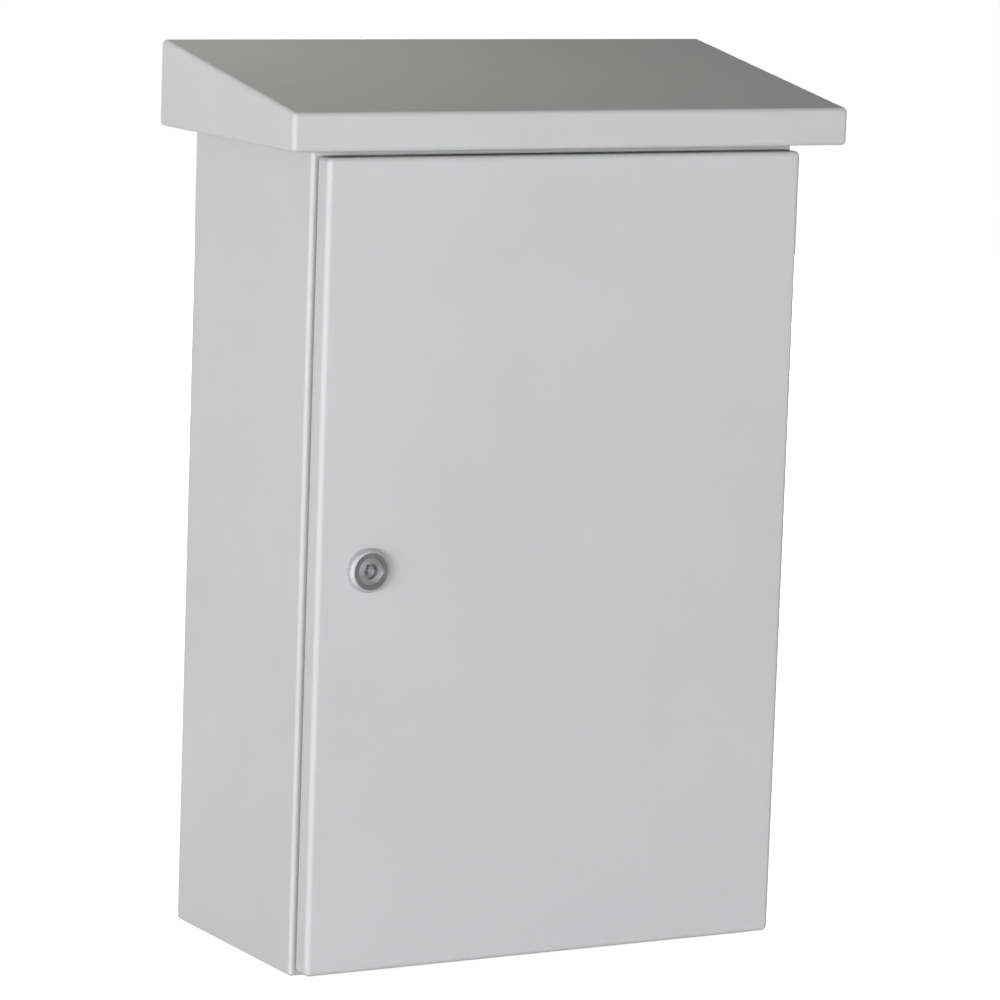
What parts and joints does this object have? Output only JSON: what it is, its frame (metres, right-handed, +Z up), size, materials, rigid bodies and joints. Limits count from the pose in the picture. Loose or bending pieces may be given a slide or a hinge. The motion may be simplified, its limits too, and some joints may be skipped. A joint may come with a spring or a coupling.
{
  "type": "electrical panel",
  "caption": "Wall-mounting sheet steel electrical panel with a sloped rain canopy, a hinged door with a quarter-turn lock, and switchgear on a mounting plate.",
  "frame": {"origin": "centre of the four wall holes, on the back face", "axes": "+X right seen from the front, +Y into the wall, +Z up"},
  "size_m": [0.46, 0.22, 0.6649],
  "materials": {
    "paint": "light grey powder coat, satin",
    "zinc": "zinc plated",
    "lock_chrome": "bright chromed zinc casting",
    "seal_rubber": "foamed seal, matte",
    "device_plastic": "moulded, fine grain",
    "lever_plastic": "moulded, satin",
    "button_plastic": "moulded, satin",
    "terminal_plastic": "moulded, fine grain",
    "brass": "drawn bar, milled ends",
    "neutral_foot_plastic": "moulded, fine grain",
    "earth_foot_plastic": "moulded, fine grain"
  },
  "bodies": {
    "enclosure": {"housing": "paint", "canopy": "paint", "canopy_bearer_left": "paint", "canopy_bearer_right": "paint", "gland_plate": "paint", "canopy_bolts": "zinc", "canopy_weld_nuts": "zinc", "gland_plate_screws": "zinc", "mounting_plate": "zinc", "mounting_plate_studs": "zinc", "mounting_plate_nuts": "zinc", "body_earth_stud": "zinc", "body_earth_nut": "zinc", "din_rail_upper": "zinc", "din_rail_lower": "zinc", "din_rail_screws": "zinc", "hinge_lug_upper": "zinc", "hinge_lug_lower": "zinc", "bar_screws": "zinc", "gland_plate_gasket": "seal_rubber", "canopy_sealing_washers": "seal_rubber", "main_switch": "device_plastic", "residual_current_device": "device_plastic", "breaker_1": "device_plastic", "breaker_2": "device_plastic", "breaker_3": "device_plastic", "breaker_4": "device_plastic", "breaker_5": "device_plastic", "breaker_6": "device_plastic", "terminal_blocks": "terminal_plastic", "rail_end_stops": "terminal_plastic", "neutral_bar": "brass", "earth_bar": "brass", "neutral_bar_feet": "neutral_foot_plastic", "earth_bar_feet": "earth_foot_plastic"},
    "door": {"door_panel": "paint", "door_seal": "seal_rubber", "door_stiffener_left": "paint", "door_stiffener_right": "paint", "door_earth_stud": "zinc", "door_earth_nut": "zinc", "door_hinge_ears_upper": "zinc", "door_hinge_ears_lower": "zinc", "hinge_pin_upper": "zinc", "hinge_pin_lower": "zinc", "lock_housing": "lock_chrome", "lock_seal": "seal_rubber", "lock_nut": "zinc"},
    "lock_core": {"lock_insert": "lock_chrome", "lock_cam": "zinc", "lock_cam_screw": "zinc"},
    "main_switch_lever": {"main_switch_lever": "lever_plastic"},
    "residual_device_lever": {"residual_device_lever": "lever_plastic"},
    "breaker_1_lever": {"breaker_1_lever": "lever_plastic"},
    "breaker_2_lever": {"breaker_2_lever": "lever_plastic"},
    "breaker_3_lever": {"breaker_3_lever": "lever_plastic"},
    "breaker_4_lever": {"breaker_4_lever": "lever_plastic"},
    "breaker_5_lever": {"breaker_5_lever": "lever_plastic"},
    "breaker_6_lever": {"breaker_6_lever": "lever_plastic"},
    "test_button": {"residual_device_test_button": "button_plastic"}
  },
  "joints": [
    {"name": "door_swing", "type": "hinge", "parent": "enclosure", "child": "door", "pos_m": [0.191, -0.2, 0], "axis": [0, 0, 1], "range_deg": [0, 120]},
    {"name": "lock_turn", "type": "hinge", "parent": "door", "child": "lock_core", "pos_m": [-0.156, -0.2, 0], "axis": [0, 1, 0], "range_deg": [0, 90]},
    {"name": "main_switch_lever_rock", "type": "hinge", "parent": "enclosure", "child": "main_switch_lever", "pos_m": [0, -0.077, 0.12], "axis": [1, 0, 0], "range_deg": [0, 70]},
    {"name": "residual_device_lever_rock", "type": "hinge", "parent": "enclosure", "child": "residual_device_lever", "pos_m": [0, -0.077, 0.12], "axis": [1, 0, 0], "range_deg": [0, 70]},
    {"name": "breaker_1_lever_rock", "type": "hinge", "parent": "enclosure", "child": "breaker_1_lever", "pos_m": [0, -0.077, 0.12], "axis": [1, 0, 0], "range_deg": [0, 70]},
    {"name": "breaker_2_lever_rock", "type": "hinge", "parent": "enclosure", "child": "breaker_2_lever", "pos_m": [0, -0.077, 0.12], "axis": [1, 0, 0], "range_deg": [0, 70]},
    {"name": "breaker_3_lever_rock", "type": "hinge", "parent": "enclosure", "child": "breaker_3_lever", "pos_m": [0, -0.077, 0.12], "axis": [1, 0, 0], "range_deg": [0, 70]},
    {"name": "breaker_4_lever_rock", "type": "hinge", "parent": "enclosure", "child": "breaker_4_lever", "pos_m": [0, -0.077, 0.12], "axis": [1, 0, 0], "range_deg": [0, 70]},
    {"name": "breaker_5_lever_rock", "type": "hinge", "parent": "enclosure", "child": "breaker_5_lever", "pos_m": [0, -0.077, 0.12], "axis": [1, 0, 0], "range_deg": [0, 70]},
    {"name": "breaker_6_lever_rock", "type": "hinge", "parent": "enclosure", "child": "breaker_6_lever", "pos_m": [0, -0.077, 0.12], "axis": [1, 0, 0], "range_deg": [0, 70]},
    {"name": "test_button_press", "type": "slide", "parent": "enclosure", "child": "test_button", "axis": [0, 1, 0], "range_m": [0, 0.0012], "stiffness_N_per_m": 300}
  ]
}
